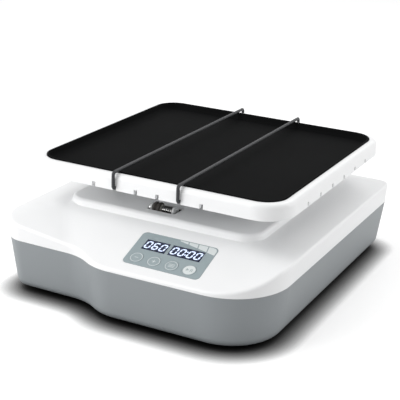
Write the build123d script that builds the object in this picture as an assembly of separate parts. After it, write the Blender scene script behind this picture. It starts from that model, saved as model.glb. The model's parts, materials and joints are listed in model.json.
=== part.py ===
from build123d import *
import math
import os

# Bench shaker with an orbiting tray. Millimetres, +X right along the front, +Y to the back, +Z up.
# The origin is on the bench, under the middle of the base.

# Base outline, at the split between the grey shell and the white cover
base_width = 268.0
base_depth = 316.0
panel_bulge = 15.5          # how far the front stands forward where the control panel is
bulge_start_x = -50.0
bulge_end_x = -24.0
front_sweep = 2.5           # the bulged front runs back by this much towards the right corner
back_corner_r = 17.0
front_left_r = 20.0
s_curve_r = 48.0
front_right_r = 55.0

# Heights above the bench
foot_height = 4.0
split_z = 52.5
side_edge_z = 72.0          # upper edge of the cover's walls right, left and at the back
left_edge_z = 74.5
back_edge_z = 70.0
flat_top_z = 79.0           # foot of the plateau
plateau_z = 85.0
skirt_height = 14.0

# Walls, drafts and clearances
shell_wall = 2.8
shell_floor = 3.0
cover_wall = 2.5
shell_draft = 7.5           # degrees
cover_flare = 3.6           # degrees
plateau_draft = 12.0        # degrees
fit = 0.03                  # radial clearance of a shaft in its bearing, and of a bearing in its seat
screw_fit = 0.1
loose = 0.3                 # clearance between pieces that only pass each other
tongue_depth = 3.0
tongue_wall = 1.5

# Edge rounding
shell_bottom_r = 9.0
cover_edge_r = 2.5
hip_r = 60.0
plateau_edge_r = 3.5

# Sloped control surface
slope_angle = 20.0
slope_front_y = -base_depth / 2 + 2.0
slope_front_z = 56.0
corner_rise_x = 0.13        # the front left corner stays high: its roof rises by this to the left
corner_rise_y = 0.27        # and by this to the back

# Plateau under the tray
plateau_width = 194.0
plateau_depth = 216.0
plateau_corner_r = 18.0

# Tray and drive
tray_y = 15.0               # centre of the tray at rest
orbit_r = 8.0
crank_y = tray_y + orbit_r
tray_size = 254.0
tray_corner_r = 28.0
rim_width = 7.0
tray_skirt = 2.6
tray_floor = 2.5
tray_rim_r = 4.0
mat_thickness = 2.0
mat_well = 5.0              # depth of the mat's face below the rim
mat_proud = 1.2             # the mat's edge stands above the rim by this
mat_lip = 2.2
notch_width = 3.4
notch_height = 4.2
front_notch_pitch = 21.5
side_notch_pitch = 28.6
notches_per_side = 6

# Hold-down cords
cord_d = 3.0
cord_notch = 1.5            # the cords use the notches this many pitches from the middle
cord_bend_r = 2.6
cord_gap = 0.2
bead_d = 4.6
bead_length = 6.0

# Control panel, in the plane of the slope
panel_x = 33.5
panel_y = slope_front_y + 29.1
panel_width = 74.0
panel_height = 41.6
panel_corner_r = 4.5
film = 0.6
film_proud = 0.1
display_v = 6.0
display_height = 13.0
speed_display_u = -17.6
speed_display_width = 23.0
timer_display_u = 12.3
timer_display_width = 31.0
key_d = 12.4
key_v = -12.0
key_pitch = 17.1
key_middle_u = -1.2
key_thickness = 1.4
key_proud = 0.3
key_travel = 0.4
plunger_d = 4.0
plunger_length = 5.3
tact_size = 6.0
tact_height = 4.3
board_thickness = 1.6
board_width = 72.0
board_height = 39.0

# Front guide unit, in an opening of the plateau
recess_x = -2.5
recess_width = 29.0
recess_front_y = tray_y - plateau_depth / 2 + 10.0
recess_depth = 20.0
liner_wall = 1.5
liner_floor_z = 68.0
bracket_wall = 2.0
bracket_gap = 20.5
bracket_top_z = 89.0
bracket_depth = 10.0
guide_y = recess_front_y + 7.5
guide_z = 84.5
guide_pin_d = 4.0
guide_roller_d = 12.0
guide_roller_width = 7.0
guide_spring_wire = 0.9
guide_spring_d = 8.0
guide_spring_turns = 6

# Drive plate inside the base
plate_z = 56.0
plate_thickness = 3.0
plate_width = 200.0
plate_depth = 168.0
post_d = 10.0
post_x = 92.0
post_dy = 76.0

# Bearings: bore, outside and width
main_bearing = (12.0, 28.0, 8.0)
pin_bearing = (10.0, 26.0, 8.0)
idler_bearing = (8.0, 22.0, 7.0)

# Crank
arm_gap = 1.5
crank_arm = 6.0
crank_arm_r = 11.0
idler_arm = 5.0
idler_arm_r = 8.5
pin_shoulder = 8.0          # the tray's bearings run this far above the crank arms
pin_bearing_z = plateau_z + arm_gap + crank_arm + pin_shoulder
crank_bottom_z = 27.0
idler_x = 75.0
idler_dy = 55.0
idler_bottom_z = 60.5

# Belt drive
motor_x = -78.0
crank_groove_r = 34.0
motor_groove_r = 8.5
pulley_flange = 3.0
pulley_z = 61.0
pulley_height = 10.0
belt_width = 6.0
belt_thickness = 2.0
motor_d = 42.0
motor_length = 40.0
motor_shaft_d = 6.0
counterweight_r = 30.0
counterweight_height = 5.0

# Rear connections
panel_plane_y = base_depth / 2 - 11.0
rear_plate = (104.0, 2.0, 40.0)
rear_window = (92.0, 32.0)
rear_z = 28.0
inlet_x = -24.0
switch_x = 24.0
inlet_flange = (31.0, 2.5, 25.0)
inlet_body = (27.0, 22.0, 20.0)
inlet_cavity = (24.4, 17.0, 16.6)
inlet_pin = (2.0, 14.0, 4.0)
switch_bezel = (15.0, 2.0, 21.0)
switch_body = (13.0, 16.0, 19.0)
rocker_width = 10.0
rocker_r = 8.4
rocker_tilt = 8.0

# Fasteners
case_screw_d = 3.0
case_screw_head_d = 5.6
case_boss_d = 9.0
screw_side = base_width / 2 - 22.0
screw_middle = base_width / 2 - 15.0
screw_back = base_depth / 2 - 22.0
screw_front = 40.0 - base_depth / 2
case_points = [
    (-screw_side, screw_back),
    (screw_side, screw_back),
    (-screw_middle, 10),
    (screw_middle, 10),
    (-screw_side, screw_front),
    (screw_side - 4, screw_front),
]
foot_d = 20.0
foot_x = base_width / 2 - 36.0
foot_back = base_depth / 2 - 28.0
foot_front = 54.0 - base_depth / 2
foot_points = [(sx * foot_x, y) for y in (foot_back, foot_front) for sx in (-1, 1)]
post_points = [(sx * post_x, crank_y + sy * post_dy) for sx in (-1, 1) for sy in (-1, 1)]
idler_points = {
    "front_left": (-idler_x, crank_y - idler_dy),
    "front_right": (idler_x, crank_y - idler_dy),
    "rear_left": (-idler_x, crank_y + idler_dy),
    "rear_right": (idler_x, crank_y + idler_dy),
}
carrier_width = 190.0
carrier_depth = 176.0
carrier_corner_r = 12.0
carrier_thickness = 2.0
hub_wall = 2.0              # from a bearing's top to the carrier's plate
tray_screw_x = 50.0
tray_screw_dy = carrier_depth / 2 - 16.0
tray_screw_points = [(sx * tray_screw_x, tray_y + sy * tray_screw_dy) for sx in (-1, 1) for sy in (-1, 1)]

# The tray is stacked on its bearings
carrier_z = pin_bearing_z + pin_bearing[2] + hub_wall
tray_floor_bottom = carrier_z + carrier_thickness
tray_floor_top = tray_floor_bottom + tray_floor
well_z = tray_floor_top + mat_thickness
rim_z = well_z + mat_well
skirt_z = rim_z - skirt_height

parts = {}


# Shared helpers

def cylinder(x, y, z, d, height):
    """Upright cylinder standing on height z."""
    return Pos(x, y, z) * Cylinder(d / 2, height, align=(Align.CENTER, Align.CENTER, Align.MIN))


def tube(x, y, z, outer_d, inner_d, height):
    """Upright ring standing on height z."""
    return cylinder(x, y, z, outer_d, height) - cylinder(x, y, z, inner_d, height)


def block(x, y, z, width, depth, height):
    """Box standing on height z, centred on x and y."""
    return Pos(x, y, z) * Box(width, depth, height, align=(Align.CENTER, Align.CENTER, Align.MIN))


def rounded_block(x, y, z, width, depth, height, r):
    """Box with rounded upright edges, standing on height z."""
    return Pos(x, y, z) * extrude(RectangleRounded(width, depth, r), height)


def screw(x, y, z, d, length, head_d, head_height):
    """Pan-head screw: its head stands on height z, its shank goes down."""
    head = cylinder(x, y, z, head_d, head_height)
    head = chamfer(head.edges().group_by(Axis.Z)[-1], head_height * 0.3)
    cross = block(x, y, z + head_height * 0.5, head_d * 0.55, head_d * 0.14, head_height)
    cross += block(x, y, z + head_height * 0.5, head_d * 0.14, head_d * 0.55, head_height)
    return head - cross + cylinder(x, y, z - length, d, length)


def screw_up(x, y, z, d, length, head_d, head_height):
    """The same screw driven upwards, its head hanging below height z."""
    turned = Rot(180, 0, 0) * screw(0, 0, 0, d, length, head_d, head_height)
    return Pos(x, y, z) * turned


def bearing(x, y, z, size):
    """Shielded ball bearing, as one ring with its shield grooves."""
    bore, outside, width = size
    ring = tube(x, y, z, outside, bore + 2 * fit, width)
    groove_d = (bore + outside) / 2
    for groove_z in (z, z + width - 0.5):
        ring -= tube(x, y, groove_z, groove_d + 5.0, groove_d - 5.0, 0.5)
    return ring


def slotted_arm(x, y, z, r, reach, height):
    """Oblong arm from the axis at x, y towards the front by the reach."""
    shape = Pos(x, y - reach / 2) * Rot(0, 0, 90) * SlotCenterToCenter(reach, 2 * r)
    return Pos(0, 0, z) * extrude(shape, height)


# Base outline

def base_face(inset=0.0):
    """Plan of the base at the split, with a gentle S where the panel side bulges forward."""
    half = base_width / 2
    back = base_depth / 2
    front = -base_depth / 2
    points = [
        (-half, back),
        (-half, front + panel_bulge),
        (bulge_start_x, front + panel_bulge),
        (bulge_end_x, front),
        (half, front + front_sweep),
        (half, back),
    ]
    radii = [back_corner_r, front_left_r, s_curve_r, s_curve_r, front_right_r, back_corner_r]
    face = make_face(FilletPolyline(*points, radius=radii, close=True))
    if inset:
        face = offset(face, -inset)
    return face


def drafted(inset, z_from, height, draft):
    """Solid on the base outline: it goes up for a positive height and down for a negative one."""
    direction = (0, 0, math.copysign(1, height))
    solid = extrude(base_face(inset), amount=abs(height), dir=direction, taper=draft)
    return Pos(0, 0, z_from) * solid


# Control surface frame

slope_normal = (0, -math.sin(math.radians(slope_angle)), math.cos(math.radians(slope_angle)))
panel_z = slope_front_z + (panel_y - slope_front_y) * math.tan(math.radians(slope_angle))
panel_frame = Plane(origin=(panel_x, panel_y, panel_z), x_dir=(1, 0, 0), z_dir=slope_normal)
key_names = ["key_minus", "key_plus", "key_mode", "key_start"]
key_u = {name: key_middle_u + (i - 1.5) * key_pitch for i, name in enumerate(key_names)}
film_bottom = film_proud - film
key_bottom = key_proud - key_thickness
tact_top = key_bottom - plunger_length - key_travel - loose / 3
board_top = tact_top - tact_height
displays = {
    "speed": (speed_display_u, speed_display_width),
    "timer": (timer_display_u, timer_display_width),
}


def on_panel(shape, u=0.0, v=0.0, w=0.0):
    """Places a shape by its distance right, up the slope and out of the control surface."""
    return panel_frame.location * Pos(u, v, w) * shape


def panel_box(u, v, w, width, height, depth):
    """Box in the panel frame whose underside is at w."""
    return on_panel(Box(width, height, depth, align=(Align.CENTER, Align.CENTER, Align.MIN)), u, v, w)


def panel_cylinder(u, v, w, d, depth):
    """Cylinder in the panel frame whose underside is at w."""
    return on_panel(Cylinder(d / 2, depth, align=(Align.CENTER, Align.CENTER, Align.MIN)), u, v, w)


def above(point, rise_x, rise_y, drop):
    """Everything above a roof plane through the point, lowered by the drop."""
    size = 4 * base_depth
    frame = Plane(origin=point, x_dir=(1, 0, rise_x), z_dir=(-rise_x, -rise_y, 1))
    centred_up = (Align.CENTER, Align.CENTER, Align.MIN)
    return frame.location * Pos(0, 0, -drop) * Box(size, size, size, align=centred_up)


def above_roof(drop):
    """What the roof of the cover leaves free: it falls from the plateau to all four edges."""
    half = base_width / 2
    back = base_depth / 2
    foot_x = plateau_width / 2 - 1.0
    foot_back_y = tray_y + plateau_depth / 2 - 1.0
    foot_front_y = slope_front_y + (flat_top_z - slope_front_z) / math.tan(math.radians(slope_angle))
    right_fall = (flat_top_z - side_edge_z) / (half - foot_x)
    left_rise = (flat_top_z - left_edge_z) / (half - foot_x)
    back_fall = (flat_top_z - back_edge_z) / (back - foot_back_y)
    front = above((0, slope_front_y, slope_front_z), 0, math.tan(math.radians(slope_angle)), drop)
    corner = above((-foot_x, foot_front_y, flat_top_z), -corner_rise_x, corner_rise_y, drop)
    return [
        above((half, 0, side_edge_z), -right_fall, 0, drop),
        above((-half, 0, left_edge_z), left_rise, 0, drop),
        above((0, back, back_edge_z), 0, -back_fall, drop),
        front & corner,
    ]


# Grey bottom shell

def frame_block():
    """Solid wall behind the rear window, with an upright inner face for the connection plate."""
    width, _, height = rear_plate
    depth = base_depth / 2 - panel_plane_y
    solid = block(0, panel_plane_y + depth / 2, rear_z - height / 2, width + 4, depth, height)
    return solid & drafted(0, split_z, foot_height - split_z, shell_draft)


def make_bottom_shell():
    outer = drafted(0, split_z, foot_height - split_z, shell_draft)
    outer = fillet(outer.edges().group_by(Axis.Z)[0], shell_bottom_r)
    floor_z = foot_height + shell_floor
    cavity = drafted(shell_wall, split_z, floor_z - split_z, shell_draft)
    cavity = fillet(cavity.edges().group_by(Axis.Z)[0], shell_bottom_r - shell_wall)
    shell = outer - cavity
    shell += frame_block()
    shell -= block(0, base_depth / 2, rear_z - rear_window[1] / 2, rear_window[0], 40, rear_window[1])
    for x, y in case_points:
        shell += cylinder(x, y, floor_z, case_boss_d, split_z - floor_z)
    for x, y in foot_points:
        shell += cylinder(x, y, floor_z, case_boss_d, 10)
    for x, y in case_points:
        shell -= cylinder(x, y, 0, case_screw_d + 2 * screw_fit, split_z)
        shell -= cylinder(x, y, 0, case_screw_head_d + 1.0, foot_height + 12)
    for x, y in foot_points:
        shell -= cylinder(x, y, 0, case_screw_d + 2 * screw_fit, foot_height + 11)
    for x, y in post_points:
        shell -= cylinder(x, y, 0, case_screw_d + 2 * screw_fit, floor_z + 1)
    for i in range(-4, 5):
        for y in (-70, -20):
            slot = Pos(i * 9.0, y) * Rot(0, 0, 90) * SlotOverall(32, 3)
            shell -= Pos(0, 0, foot_height - 1) * extrude(slot, shell_floor + 2)
    return shell


# White top cover

def cover_body(inset, drop, rounded):
    """Cover volume: flared walls under a roof of soft slopes."""
    body = drafted(inset, split_z, flat_top_z - drop - split_z, -cover_flare)
    for space in above_roof(drop):
        body -= space
    if rounded:
        body = fillet(roof_hips(body), hip_r)
        body = fillet(wall_tops(body), cover_edge_r)
    return body


def roof_faces(body):
    return [face for face in body.faces() if face.normal_at().Z > 0.7]


def roof_hips(body):
    """Edges where two slopes of the roof meet."""
    faces = roof_faces(body)
    edges = body.edges()
    return [edge for edge in edges if sum(edge in face.edges() for face in faces) == 2 and not flat(edge)]


def wall_tops(body):
    """Edges where a wall meets the roof."""
    walls = [face for face in body.faces() if abs(face.normal_at().Z) < 0.5]
    faces = roof_faces(body)
    return [edge for wall in walls for edge in wall.edges() if any(edge in face.edges() for face in faces)]


def flat(edge):
    return abs((edge @ 0).Z - (edge @ 1).Z) < 0.01 and abs((edge @ 0).Z - flat_top_z) < 0.01


def make_plateau(inset, drop, base_z):
    """Block that narrows upwards, with its stated size at its top."""
    height = plateau_z - drop - base_z
    grow = height * math.tan(math.radians(plateau_draft)) - inset
    r = plateau_corner_r + grow
    face = RectangleRounded(plateau_width + 2 * grow, plateau_depth + 2 * grow, r)
    return Pos(0, tray_y, base_z) * extrude(face, amount=height, taper=plateau_draft)


def make_top_cover():
    outer = cover_body(0, 0, rounded=True)
    plateau = make_plateau(0, 0, flat_top_z - 4)
    plateau = fillet(plateau.edges().group_by(Axis.Z)[-1], plateau_edge_r)
    outer += plateau
    inner = cover_body(cover_wall, cover_wall, rounded=False)
    inner += make_plateau(cover_wall, cover_wall, flat_top_z - cover_wall - 2)
    cover = outer - inner
    bosses = [cylinder(x, y, split_z, case_boss_d, 60) for x, y in case_points]
    for u in (-1, 1):
        for v in (-1, 1):
            boss = panel_cylinder(u * (board_width / 2 - 3.2), v * (board_height / 2 - 3.2), board_top, 5.5, 12)
            bosses.append(boss)
    for boss in bosses:
        cover += boss & inner
    tongue_inset = shell_wall + tongue_depth * math.tan(math.radians(shell_draft)) + loose
    tongue = base_face(tongue_inset) - base_face(tongue_inset + tongue_wall)
    tongue_solid = Pos(0, 0, split_z - tongue_depth) * extrude(tongue, tongue_depth + 2)
    for x, y in case_points:
        tongue_solid -= cylinder(x, y, 0, case_boss_d + 2 * loose, split_z)
    cover += tongue_solid - block(0, base_depth / 2, 0, rear_plate[0] + 8, 40, split_z)
    return cover


def cut_cover(cover):
    """Holes of the cover: screws, shafts, recess, displays and keys."""
    for x, y in case_points:
        cover -= cylinder(x, y, split_z - 1, case_screw_d + 2 * fit, 13)
    for x, y in idler_points.values():
        cover -= cylinder(x, y, flat_top_z, seal_d(idler_bearing), 20)
    cover -= cylinder(0, crank_y, flat_top_z, seal_d(main_bearing), 20)
    recess_y = recess_front_y + recess_depth / 2
    cover -= rounded_block(recess_x, recess_y, flat_top_z, recess_width, recess_depth, 20, 1.5)
    pocket = extrude(RectangleRounded(panel_width + 0.4, panel_height + 0.4, panel_corner_r), 5)
    cover -= on_panel(pocket, 0, 0, film_bottom)
    for u, width in displays.values():
        cover -= panel_box(u, display_v, -6, width + 0.6, display_height + 1.4, 8)
    for u in key_u.values():
        cover -= panel_cylinder(u, key_v, key_bottom - key_travel - loose, key_d + 2 * loose, 5)
        cover -= panel_cylinder(u, key_v, -8, plunger_d + 2 * loose, 10)
    return cover


def seal_d(size):
    """Outside diameter of the seal round a shaft of the given bearing's bore."""
    return size[0] + 8.0


def make_cover_seals():
    seals = []
    for (x, y), size in [((0, crank_y), main_bearing)] + [(p, idler_bearing) for p in idler_points.values()]:
        ring = tube(x, y, plateau_z - cover_wall, seal_d(size), size[0] + 2 * loose, cover_wall)
        lip = tube(x, y, plateau_z - cover_wall - 1.2, seal_d(size) + 4, size[0] + 2 * loose, 1.2)
        seals.append(ring + lip)
    return seals


# Feet, posts and screws of the base

def make_feet():
    feet = []
    for x, y in foot_points:
        foot = cylinder(x, y, 0, foot_d, foot_height)
        foot = fillet(foot.edges().group_by(Axis.Z)[0], 1.0)
        foot -= cylinder(x, y, 0, case_screw_head_d + 1.0, 2.4)
        foot -= cylinder(x, y, 0, case_screw_d + 2 * screw_fit, foot_height)
        feet.append(foot)
    return feet


def make_foot_screws():
    return [screw_up(x, y, 2.4, case_screw_d, 11, case_screw_head_d, 1.8) for x, y in foot_points]


def make_case_screws():
    head_z = foot_height + 12
    length = split_z + 10 - head_z
    return [screw_up(x, y, head_z, case_screw_d, length, case_screw_head_d, 1.8) for x, y in case_points]


def make_posts():
    floor_z = foot_height + shell_floor
    posts = []
    for x, y in post_points:
        post = cylinder(x, y, floor_z, post_d, plate_z - floor_z)
        post -= cylinder(x, y, floor_z, case_screw_d + 2 * fit, plate_z - floor_z)
        posts.append(post)
    return posts


def make_post_screws():
    top = plate_z + plate_thickness
    screws = [screw(x, y, top, case_screw_d, 12, case_screw_head_d, 2.0) for x, y in post_points]
    screws += [screw_up(x, y, foot_height, case_screw_d, 12, case_screw_head_d, 1.8) for x, y in post_points]
    return screws


# Drive plate and bearings

def housing_screw_points(x, y, r):
    angles = [math.radians(45 + 90 * i) for i in range(4)]
    return [(x + r * math.cos(a), y + r * math.sin(a)) for a in angles]


main_flange_r = main_bearing[1] / 2 + 12.0
main_screw_r = main_flange_r - 4.5
idler_flange_r = idler_bearing[1] / 2 + 11.0
idler_screw_r = idler_flange_r - 4.0
plate_top = plate_z + plate_thickness
motor_screw_r = 15.5


def plate_hole_points():
    points = housing_screw_points(0, crank_y, main_screw_r)
    points += housing_screw_points(motor_x, crank_y, motor_screw_r)
    for x, y in idler_points.values():
        points += housing_screw_points(x, y, idler_screw_r)
    return points


def make_drive_plate():
    plate = rounded_block(0, crank_y, plate_z, plate_width, plate_depth, plate_thickness, 8)
    plate -= cylinder(0, crank_y, plate_z, main_bearing[0] + 8, plate_thickness)
    plate -= cylinder(motor_x, crank_y, plate_z, 22 + 2 * screw_fit, plate_thickness)
    for x, y in post_points + plate_hole_points():
        plate -= cylinder(x, y, plate_z, case_screw_d + 2 * screw_fit, plate_thickness)
    for y in (crank_y - 62, crank_y + 62):
        plate -= rounded_block(0, y, plate_z, 60, 20, plate_thickness, 6)
    return plate


main_housing_length = 28.0
main_housing_z = plate_z - main_housing_length
idler_housing_length = 20.5


def make_main_housing():
    housing = cylinder(0, crank_y, main_housing_z, main_bearing[1] + 9, main_housing_length)
    housing += cylinder(0, crank_y, plate_z - 4, 2 * main_flange_r, 4)
    housing -= cylinder(0, crank_y, main_housing_z, main_bearing[1] + 2 * fit, main_bearing[2] + 1)
    housing -= cylinder(0, crank_y, main_housing_z, main_bearing[1] - 5, main_housing_length)
    top_seat_z = plate_z - main_bearing[2] - 1
    housing -= cylinder(0, crank_y, top_seat_z, main_bearing[1] + 2 * fit, main_bearing[2] + 1)
    for x, y in housing_screw_points(0, crank_y, main_screw_r):
        housing -= cylinder(x, y, plate_z - 4, case_screw_d + 2 * fit, 4)
    return housing


def make_main_bearings():
    lower = bearing(0, crank_y, main_housing_z + 1, main_bearing)
    upper = bearing(0, crank_y, plate_z - main_bearing[2] - 1, main_bearing)
    return [lower, upper]


def make_idler_housings():
    housings = []
    for x, y in idler_points.values():
        housing = cylinder(x, y, plate_top, idler_bearing[1] + 7, idler_housing_length)
        housing += cylinder(x, y, plate_top, 2 * idler_flange_r, 3)
        housing -= cylinder(x, y, plate_top + 1, idler_bearing[1] + 2 * fit, idler_housing_length)
        for sx, sy in housing_screw_points(x, y, idler_screw_r):
            housing -= cylinder(sx, sy, plate_top, case_screw_d + 2 * screw_fit, 3)
        housings.append(housing)
    return housings


def idler_bearing_heights():
    lower = plate_top + 1
    upper = plate_top + idler_housing_length - idler_bearing[2] - 1
    return lower, upper


def make_idler_bearings():
    rings = []
    for x, y in idler_points.values():
        lower, upper = idler_bearing_heights()
        rings.append(bearing(x, y, lower, idler_bearing))
        rings.append(bearing(x, y, upper, idler_bearing))
        spacer_height = upper - lower - idler_bearing[2]
        spacer_z = lower + idler_bearing[2]
        rings.append(tube(x, y, spacer_z, idler_bearing[1], idler_bearing[1] - 3, spacer_height))
    return rings


def make_housing_screws():
    screws = []
    for x, y in housing_screw_points(0, crank_y, main_screw_r):
        screws.append(screw(x, y, plate_top, case_screw_d, plate_thickness + 3.5, 5.4, 1.6))
    for x, y in idler_points.values():
        for sx, sy in housing_screw_points(x, y, idler_screw_r):
            screws.append(screw(sx, sy, plate_top + 3, case_screw_d, plate_thickness + 3, 5.4, 2.0))
    return screws


# Motor and belt

def make_motor():
    body_top = plate_z
    body = cylinder(motor_x, crank_y, body_top - motor_length, motor_d, motor_length)
    body = fillet(body.edges().group_by(Axis.Z)[0], 1.5)
    for z in (body_top - 8, body_top - motor_length + 7):
        body -= tube(motor_x, crank_y, z, motor_d + 1, motor_d - 0.8, 1.0)
    body += cylinder(motor_x, crank_y, body_top, 22, plate_thickness - 0.5)
    body -= cylinder(motor_x, crank_y, body_top - 25, motor_shaft_d + 2 * fit, 40)
    for x, y in housing_screw_points(motor_x, crank_y, motor_screw_r):
        body -= cylinder(x, y, body_top - 6, case_screw_d + 2 * fit, 6)
    return body


def make_motor_screws():
    points = housing_screw_points(motor_x, crank_y, motor_screw_r)
    return [screw(x, y, plate_top, case_screw_d, plate_thickness + 5, 5.4, 0.9) for x, y in points]


def pulley(x, y, groove_r, bore_d):
    """Flanged belt pulley with a flat groove."""
    wheel = cylinder(x, y, pulley_z, 2 * (groove_r + pulley_flange), pulley_height)
    groove_z = pulley_z + (pulley_height - belt_width) / 2 - loose
    outer = 2 * (groove_r + pulley_flange) + 1
    wheel -= tube(x, y, groove_z, outer, 2 * groove_r, belt_width + 2 * loose)
    return wheel - cylinder(x, y, pulley_z, bore_d + 2 * fit, pulley_height)


def make_crank_pulley():
    wheel = pulley(0, crank_y, crank_groove_r, main_bearing[0])
    for i in range(5):
        a = math.radians(90 + 72 * i)
        x = 21 * math.cos(a)
        y = crank_y + 21 * math.sin(a)
        wheel -= cylinder(x, y, pulley_z, 13, pulley_height)
    return wheel


def make_motor_pulley():
    return pulley(motor_x, crank_y, motor_groove_r, motor_shaft_d)


def make_motor_shaft():
    return cylinder(motor_x, crank_y, plate_z - 24, motor_shaft_d, pulley_z + pulley_height + 2 - plate_z + 24)


def belt_loop(extra):
    """Plan of the belt round both pulleys, at a distance outside the grooves."""
    big = Pos(0, crank_y) * Circle(crank_groove_r + extra)
    small = Pos(motor_x, crank_y) * Circle(motor_groove_r + extra)
    return make_hull(big.edges() + small.edges())


def make_belt():
    ring = belt_loop(loose + belt_thickness) - belt_loop(loose)
    return Pos(0, 0, pulley_z + (pulley_height - belt_width) / 2) * extrude(ring, belt_width)


# Crank, counterweight and idlers

def make_crank_shaft():
    arm_z = plateau_z + arm_gap
    shaft = cylinder(0, crank_y, crank_bottom_z, main_bearing[0], arm_z - crank_bottom_z)
    shaft += slotted_arm(0, crank_y, arm_z, crank_arm_r, orbit_r, crank_arm)
    pin_z = arm_z + crank_arm
    pin_top = pin_bearing_z + pin_bearing[2] + 0.6
    shaft += cylinder(0, tray_y, pin_z, pin_bearing[0], pin_top - pin_z)
    shaft += cylinder(0, tray_y, pin_z, pin_bearing[0] + 5, pin_bearing_z - pin_z)
    return shaft


def make_counterweight():
    z = pulley_z + pulley_height
    disc = cylinder(0, crank_y, z, 2 * counterweight_r, counterweight_height)
    disc -= block(0, crank_y - counterweight_r, z, 3 * counterweight_r, 2 * counterweight_r, counterweight_height)
    weight = disc + cylinder(0, crank_y, z, main_bearing[0] + 12, counterweight_height)
    return weight - cylinder(0, crank_y, z, main_bearing[0] + 2 * fit, counterweight_height)


idler_pin_z = pin_bearing_z + pin_bearing[2] - idler_bearing[2]


def make_idler(x, y):
    arm_z = plateau_z + arm_gap
    shaft = cylinder(x, y, idler_bottom_z, idler_bearing[0], arm_z - idler_bottom_z)
    shaft += slotted_arm(x, y, arm_z, idler_arm_r, orbit_r, idler_arm)
    pin_z = arm_z + idler_arm
    shaft += cylinder(x, y - orbit_r, pin_z, idler_bearing[0], idler_pin_z + idler_bearing[2] + 0.6 - pin_z)
    shaft += cylinder(x, y - orbit_r, pin_z, idler_bearing[0] + 4, idler_pin_z - pin_z)
    return shaft


# Tray and its carrier

hub_z = pin_bearing_z - 1.0
skirt_flare = 3.0
mat_size = tray_size - 2 * rim_width
mat_slant = 18.0            # degrees, inner side of the mat's edge


def tray_block(size, r, z, height):
    return rounded_block(0, tray_y, z, size, size, height, r)


def make_tray_body():
    face = RectangleRounded(tray_size, tray_size, tray_corner_r)
    body = extrude(face, amount=rim_z - skirt_z, dir=(0, 0, -1), taper=-skirt_flare)
    body = Pos(0, tray_y, rim_z) * body
    body = fillet(body.edges().group_by(Axis.Z)[-1], tray_rim_r)
    inside_size = tray_size - 2 * tray_skirt
    body -= tray_block(inside_size, tray_corner_r - tray_skirt, skirt_z, tray_floor_bottom - skirt_z)
    body -= tray_block(mat_size, tray_corner_r - rim_width, tray_floor_top, 20)
    return body


def cut_notches(body):
    """Open slots in the lower edge of the skirt, evenly spaced along the four sides."""
    for i in range(notches_per_side):
        place = i - (notches_per_side - 1) / 2
        for side in (-1, 1):
            reach = side * tray_size / 2
            across = block(place * front_notch_pitch, tray_y + reach, skirt_z, notch_width, 12, notch_height)
            along = block(reach, tray_y + place * side_notch_pitch, skirt_z, 12, notch_width, notch_height)
            body -= across
            body -= along
    return body


def make_tray():
    tray = cut_notches(make_tray_body())
    for x, y in tray_screw_points:
        tray -= cylinder(x, y, tray_floor_bottom, case_screw_d + 2 * screw_fit, tray_floor)
        tray -= cylinder(x, y, tray_floor_top - 1.7, 6.4, 2)
    return tray


def make_mat():
    """Shallow black liner with an upturned edge."""
    clear = 0.1
    size = mat_size - 2 * clear
    corner = tray_corner_r - rim_width - clear
    mat = tray_block(size, corner, tray_floor_top, rim_z + mat_proud - tray_floor_top)
    mat = fillet(mat.edges().group_by(Axis.Z)[-1], 0.5)
    foot = mat_lip + (mat_well + mat_proud) * math.tan(math.radians(mat_slant))
    face = RectangleRounded(size - 2 * foot, size - 2 * foot, corner - foot)
    height = mat_well + mat_proud
    return mat - Pos(0, tray_y, well_z) * extrude(face, amount=height, taper=-mat_slant)


def make_carrier():
    """Pressed plate under the tray with a hub for each bearing."""
    size = (carrier_width, carrier_depth, carrier_thickness)
    carrier = rounded_block(0, tray_y, carrier_z, *size, carrier_corner_r)
    hubs = [(0, tray_y, pin_bearing, pin_bearing_z)]
    hubs += [(x, y - orbit_r, idler_bearing, idler_pin_z) for x, y in idler_points.values()]
    for x, y, bearing, z in hubs:
        carrier += cylinder(x, y, hub_z, bearing[1] + 7, carrier_z - hub_z)
        carrier -= cylinder(x, y, hub_z, bearing[1] + 2 * fit, z + bearing[2] - hub_z)
        carrier -= cylinder(x, y, hub_z, bearing[1] - 5, carrier_z - hub_z)
    for x, y in tray_screw_points:
        carrier += cylinder(x, y, carrier_z - 5, 9, 5)
        carrier -= cylinder(x, y, carrier_z - 5, case_screw_d + 2 * fit, 5 + carrier_thickness)
    return carrier


def make_tray_bearings():
    rings = [bearing(0, tray_y, pin_bearing_z, pin_bearing)]
    for x, y in idler_points.values():
        rings.append(bearing(x, y - orbit_r, idler_pin_z, idler_bearing))
    return rings


def make_tray_screws():
    return [screw(x, y, tray_floor_top - 1.7, case_screw_d, 7, 5.8, 1.5) for x, y in tray_screw_points]


# Hold-down cords

cord_x = cord_notch * front_notch_pitch
skirt_out = tray_size / 2 + (rim_z - skirt_z) * math.tan(math.radians(skirt_flare))
cord_outside = skirt_out + cord_d / 2 + cord_gap
cord_over = rim_z + mat_proud + cord_d / 2 + cord_gap
cord_through = skirt_z + cord_d / 2 + 0.5
cord_end = tray_size / 2 - tray_skirt - bead_length - 0.4


def cord_path():
    """Route of a cord: out of the front notch, up the skirt, straight across and down the back."""
    points = [
        (0, tray_y - cord_end, cord_through),
        (0, tray_y - cord_outside, cord_through),
        (0, tray_y - cord_outside, cord_over),
        (0, tray_y + cord_outside, cord_over),
        (0, tray_y + cord_outside, cord_through),
        (0, tray_y + cord_end, cord_through),
    ]
    return FilletPolyline(*points, radius=cord_bend_r)


def make_cord(x):
    path = cord_path()
    section = Plane(origin=path @ 0, z_dir=path % 0) * Circle(cord_d / 2)
    return Pos(x, 0, 0) * sweep(section, path=path)


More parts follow.
